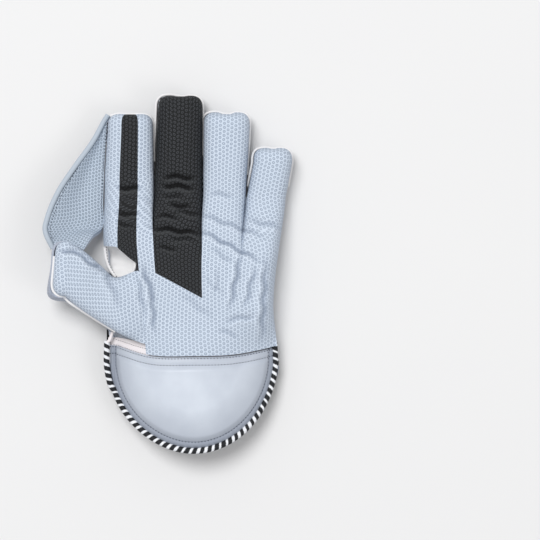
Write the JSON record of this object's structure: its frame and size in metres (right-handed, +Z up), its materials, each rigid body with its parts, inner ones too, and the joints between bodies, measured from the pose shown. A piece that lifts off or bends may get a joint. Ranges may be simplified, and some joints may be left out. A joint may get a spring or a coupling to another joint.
{
  "type": "wicketkeeping glove",
  "caption": "Left-hand wicketkeeping glove, palm up: pimpled rubber palm with dark finger strips, a catching web at the thumb, and a padded half-oval cuff with striped piping. Hollow inside.",
  "frame": {"origin": "centre of the wrist on the flat of the back that the glove rests on", "axes": "+Y to the fingertips, +X to the little finger side, +Z up out of the palm"},
  "size_m": [0.2096, 0.301, 0.0525],
  "materials": {
    "pale_rubber": "matt pimpled rubber, pale blue-grey",
    "black_rubber": "matt pimpled rubber, black",
    "pale_leather": "smooth padded leather, pale blue-grey, satin",
    "white_leather": "soft white leather, matt",
    "cotton_lining": "plain woven cotton, pinkish white",
    "striped_piping": "woven piping with slanted black and white stripes",
    "black_tab": "black woven tape"
  },
  "bodies": {
    "root": {"palm_facing": "pale_rubber", "index_outer_facing": "pale_rubber", "index_strip": "black_rubber", "middle_facing": "black_rubber", "index_back": "pale_leather", "index_cap": "pale_leather", "index_welt": "white_leather", "middle_back": "pale_leather", "middle_cap": "pale_leather", "middle_welt": "white_leather", "ring_back": "pale_leather", "ring_cap": "pale_leather", "ring_welt": "white_leather", "little_back": "pale_leather", "little_cap": "pale_leather", "little_welt": "white_leather", "hand_back": "pale_leather", "back_lining": "cotton_lining", "side_tab": "black_tab", "palm_cuff": "pale_leather", "cuff_band": "pale_leather", "cuff_lining": "cotton_lining", "palm_cuff_piping": "striped_piping", "back_cuff_piping": "striped_piping", "thumb_facing": "pale_rubber", "thumb_back": "pale_leather", "thumb_cap": "pale_leather", "crotch_gusset": "white_leather", "web_facing": "pale_rubber", "web_leather": "pale_leather", "web_binding": "pale_leather"}
  },
  "joints": []
}
